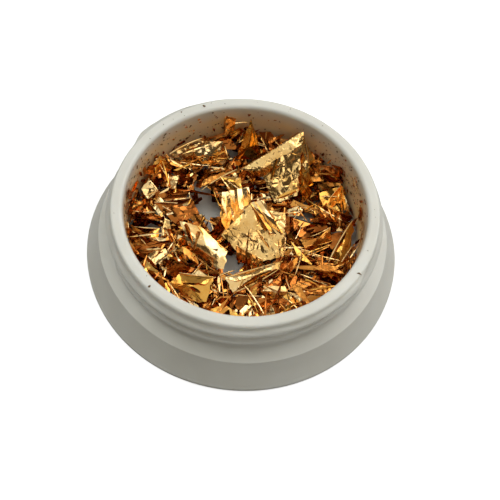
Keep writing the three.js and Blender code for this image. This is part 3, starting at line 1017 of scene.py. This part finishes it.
loose = {
    "buried_scraps": drop_scraps(210, 11, make_scrap, heap_limit(3.9, 5.6), 0.3),
    "torn_scraps": drop_scraps(270, 12, make_scrap, heap_limit(4.9, 6.8), 0.5),
    "thin_slivers": drop_scraps(110, 13, make_sliver, heap_limit(5.2, 7.2), 0.35),
    "rolled_rods": drop_scraps(65, 14, make_rod, heap_limit(5.4, 7.2), 0.15),
    "crumbs": drop_scraps(170, 15, make_crumb, heap_limit(5.2, 7.4), 0.6),
}


def wall_radius(z):
    """The bore's radius at a height, in mm."""
    straight_bore = rim_height - floor_top - 1.3
    share = max(0, z - floor_top - floor_fillet) / straight_bore
    return bore_radius - bore_draft + bore_draft * share


def against_wall(points, azimuth, z, gap):
    """Stands points, flat in x and z with y outwards, against the wall at an azimuth."""
    points = points @ turn_about("Z", azimuth - math.pi / 2).T
    out = np.array([math.cos(azimuth), math.sin(azimuth), 0])
    placed = points + out * (wall_radius(z) - gap) + np.array([0, 0, z])
    excess = np.max(np.hypot(placed[:, 0], placed[:, 1])) - (wall_radius(z) - gap)
    return placed - out * max(0, excess)


def clinging_scraps(count, seed):
    """Scraps that cling upright to the wall above the heap, mostly at its two sides."""
    rng = random.Random(seed)
    pieces = []
    for _ in range(count * 6):
        if len(pieces) == count:
            break
        side = rng.random()
        if side < 0.42:
            azimuth = math.radians(rng.gauss(182, 22))
        elif side < 0.84:
            azimuth = math.radians(rng.gauss(22, 20))
        else:
            azimuth = math.radians(rng.uniform(45, 150))
        at_back = math.radians(42) < azimuth < math.radians(155)
        length = rng.uniform(0.6, 1.3) if at_back else rng.uniform(0.9, 2.6)
        width = length * rng.uniform(0.3, 0.6)
        points, triangles = pleated_scrap(rng, length, width, rng.choice((0, 1, 1, 2)), False)
        points = points - points.mean(axis=0)
        spin = turn_about("Z", rng.uniform(0, math.pi))
        lean = turn_about("X", math.pi / 2 + rng.gauss(0, 0.35))
        points = points @ (lean @ spin).T
        z = rng.uniform(3.2, 5.8 if at_back else 7.2)
        points = against_wall(points, azimuth, z, 0.12)
        if points[:, 2].max() > 8.1 or points[:, 2].min() < 2:
            continue
        places = cells_of(points)
        if np.any(points[:, 2] > roof[places] - 0.1):
            continue
        np.maximum.at(heap, places, points[:, 2])
        sheet, faces = two_sided(points, triangles)
        pieces.append((sheet, faces, rng.choice(scrap_shades)))
    return pieces


loose["clinging_scraps"] = clinging_scraps(130, 16)
for name, pieces in loose.items():
    scraps = join_pieces(name, pieces)
    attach(scraps, "foil_bed")


# ---------------------------------------------------------------- the strips on the flakes
# Strips and rolled-up rods that lie across the large flakes. Each lies on one flake and moves
# with it.


def ribbon(start, end, over, width, rng):
    """A narrow strip of leaf from start to end, in mm, folded along its middle."""
    line = end - start
    side = np.cross(line, over)
    side = side / np.linalg.norm(side) * width / 2
    ridge = over * width * rng.uniform(0.15, 0.5)
    steps = 6
    points = []
    for step in range(steps + 1):
        share = step / steps
        taper = 0.3 + 0.7 * math.sin(math.pi * min(1, 0.15 + share * 0.85))
        middle = start + line * share
        points.append(middle - side * taper * rng.uniform(0.85, 1.1))
        points += [middle + ridge * taper, middle + side * taper]
    triangles = []
    for step in range(steps):
        for lane in (0, 1):
            a = 3 * step + lane
            triangles += [(a, a + 1, a + 4), (a, a + 4, a + 3)]
    return np.array(points), np.array(triangles)


shortest_strip, longest_strip = 1.1, 3.6
strips_on = {
    "kite_flake": 6, "large_folded_flake": 4, "crumpled_flake_left": 4, "long_flake_front": 3,
    "flat_flake_front": 2, "dark_flake_left": 5, "low_flake_left": 2, "rolled_flake_back": 5,
    "long_flake_left": 2, "upright_flake_right": 3, "middle_flake_right": 4, "front_flake_right": 3,
    "fan_flake_right": 2, "middle_flake_left": 2, "square_flake_left": 1,
}
for order, (node, count) in enumerate(strips_on.items()):
    rng = random.Random(700 + order)
    points, _ = laid[node]
    centre = points.mean(axis=0)
    over = np.linalg.svd(points - centre)[2][2]
    over = over if over[2] > 0 else -over
    strips = []
    while len(strips) < count:
        start, end = rng.choice(points), rng.choice(points)
        if not shortest_strip < np.linalg.norm(end - start) < longest_strip:
            continue
        lift = over * 0.1
        if rng.random() < 0.5:
            rod = rolled_rod((start + lift, end + lift), rng.uniform(0.05, 0.09), rng)
            strips.append((*rod, rng.choice((lit_bright_leaf, amber_leaf))))
        else:
            strip = ribbon(start + lift, end + lift, over, rng.uniform(0.25, 0.6), rng)
            strips.append((*two_sided(*strip), rng.choice((lit_bright_leaf, amber_leaf, copper_leaf))))
    joined = join_pieces("strips_on_" + node, strips)
    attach(joined, frame["nodes"][node]["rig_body"])


# ---------------------------------------------------------------- the dust
# Specks of leaf that static holds on the pot: many on the wall above the heap, a few on the rim.


def speck(size, rng):
    """A tiny torn chip, flat in x and z."""
    sides = rng.choice((3, 4, 5))
    ring = []
    for side in range(sides):
        angle = 2 * math.pi * (side + rng.uniform(-0.3, 0.3)) / sides
        reach = size / 2 * rng.uniform(0.6, 1.3)
        bend = rng.uniform(-0.15, 0.15) * size
        ring.append((reach * math.cos(angle), bend, reach * 0.7 * math.sin(angle)))
    triangles = [(0, i + 1, i) for i in range(1, sides - 1)]
    return np.array(ring), np.array(triangles)


def tarnished():
    """Dull brown leaf dust."""
    material, tree, shader = new_material("tarnished_dust")
    place = node_at(tree, "ShaderNodeTexCoord")
    blotches = node_at(tree, "ShaderNodeTexNoise", Scale=900, Detail=2)
    tint = node_at(tree, "ShaderNodeValToRGB")
    tint.color_ramp.elements[0].color = (0.05, 0.022, 0.006, 1)
    tint.color_ramp.elements[1].color = (0.20, 0.10, 0.03, 1)
    connect(
        tree,
        (place, "Object", blotches, "Vector"),
        (blotches, "Fac", tint, "Fac"),
        (tint, "Color", shader, "Base Color"),
    )
    shader.inputs["Metallic"].default_value = 0.6
    shader.inputs["Roughness"].default_value = 0.5
    return material


dust_brown = tarnished()
dust_shades = (dust_brown, dust_brown, shaded_dark_leaf, copper_leaf, amber_leaf)
thick_with_dust = ((38, 15), (18, 16), (120, 35), (165, 22))
rng = random.Random(31)
wall_specks = []
for _ in range(340):
    azimuth = math.radians(rng.choice([rng.gauss(middle, spread) for middle, spread in thick_with_dust]))
    chip, triangles = speck(rng.choice((0.12, 0.18, 0.18, 0.26, 0.38)) * rng.uniform(0.7, 1.3), rng)
    height = 8.3 - 3.6 * rng.random() ** 0.8
    chip = against_wall(chip, azimuth, height, 0.05)
    wall_specks.append((*two_sided(chip, triangles), rng.choice(dust_shades)))
rim_specks = []
rim_places = [(-29, 13.3, 0.55), (-128, 13.2, 0.35), (116, 13.0, 0.4), (-17, 12.9, 0.22)]
rim_places.append((127, 13.2, 0.25))
for _ in range(16):
    rim_places.append((rng.uniform(-60, 240), rng.uniform(12.6, 13.3), rng.uniform(0.08, 0.16)))
for degrees, radius, size in rim_places:
    chip, triangles = speck(size, rng)
    chip = chip[:, [0, 2, 1]] * [1, 1, 0.4]
    angle = math.radians(degrees)
    middle = np.array([radius * math.cos(angle), radius * math.sin(angle), rim_height - 0.02 * size])
    chip[:, 2] -= chip[:, 2].min()
    turn = turn_about("Z", rng.uniform(0, 6.28))
    rim_specks.append((*two_sided(chip @ turn.T + middle, triangles), dust_brown))
for name, specks in (("wall_dust", wall_specks), ("rim_dust", rim_specks)):
    dust = join_pieces(name, specks)
    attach(dust, "pot")


# ---------------------------------------------------------------- table, light and camera
# A plain white table under five soft lights: two windows behind the pot, a ceiling, the lit wall
# behind and a small window in front, which makes the leaf that faces the camera flash.


def table_top():
    """A wide plain sheet under the pot."""
    bpy.ops.mesh.primitive_plane_add(size=3)
    table = bpy.context.object
    table.name = "table_top"
    material, tree, shader = new_material("table_white")
    grain = node_at(tree, "ShaderNodeTexNoise", Scale=40, Detail=4)
    tint = node_at(tree, "ShaderNodeMapRange", To_Min=0.42, To_Max=0.46)
    connect(
        tree,
        (grain, "Fac", tint, "Value"),
        (tint, "Result", shader, "Base Color"),
    )
    shader.inputs["Roughness"].default_value = 0.7
    shader.inputs["Emission Color"].default_value = (1, 1, 1, 1)
    path = node_at(tree, "ShaderNodeLightPath")
    glow = node_at(tree, "ShaderNodeMath", operation="MULTIPLY")
    glow.inputs[1].default_value = 0.8
    connect(
        tree,
        (path, "Is Camera Ray", glow, 0),
        (glow, "Value", shader, "Emission Strength"),
    )
    table.data.materials.append(material)


def soft_light(name, place, aim, width, height, power, color):
    """A rectangular soft box that points at aim."""
    lamp = bpy.data.lights.new(name, "AREA")
    lamp.shape = "RECTANGLE"
    lamp.size, lamp.size_y = width, height
    lamp.energy = power
    lamp.color = color
    light = bpy.data.objects.new(name, lamp)
    light.location = place
    light.rotation_euler = (Vector(aim) - Vector(place)).to_track_quat("-Z", "Y").to_euler()
    bpy.context.scene.collection.objects.link(light)


table_top()
soft_light("right_window", (0.2, 0.17, 0.27), (0, 0, 0.004), 0.31, 0.27, 0.7, (1.0, 1.0, 0.98))
soft_light("left_window", (-0.22, 0.1, 0.3), (0, 0, 0.004), 0.24, 0.22, 0.36, (0.98, 1.0, 0.97))
soft_light("ceiling", (0.02, -0.02, 0.42), (0, 0, 0), 0.5, 0.44, 0.56, (0.96, 1.0, 0.95))
soft_light("front_window", (0.13, -0.25, 0.29), (0, 0, 0.004), 0.16, 0.14, 0.13, (1.0, 0.99, 0.95))
soft_light("back_wall", (-0.05, 0.42, 0.5), (0, 0, 0), 0.9, 0.6, 0.55, (0.98, 1.0, 0.97))

room = bpy.data.worlds.new("room")
room.use_nodes = True
room.node_tree.nodes["Background"].inputs["Color"].default_value = (1.0, 0.86, 0.64, 1)
room.node_tree.nodes["Background"].inputs["Strength"].default_value = 0.08
bpy.context.scene.world = room
bpy.context.scene.view_settings.view_transform = "Standard"

elevation = math.radians(59.91)
distance = 0.099
aim = Vector((0.000896, -0.000221, 0))
back = Vector((0, -math.cos(elevation), math.sin(elevation)))
right = Vector((1, 0, 0))
up = back.cross(right)
roll = math.radians(6.566)
level = right * math.cos(roll) + up * math.sin(roll)
upright = up * math.cos(roll) - right * math.sin(roll)
lens = bpy.data.cameras.new("camera")
lens.sensor_width = 36
lens.lens = 66.15
lens.clip_start = 0.005
camera = bpy.data.objects.new("camera", lens)
facing = Matrix((level, upright, back)).transposed().to_4x4()
camera.matrix_world = Matrix.Translation(aim + back * distance) @ facing
bpy.context.scene.collection.objects.link(camera)
bpy.context.scene.camera = camera
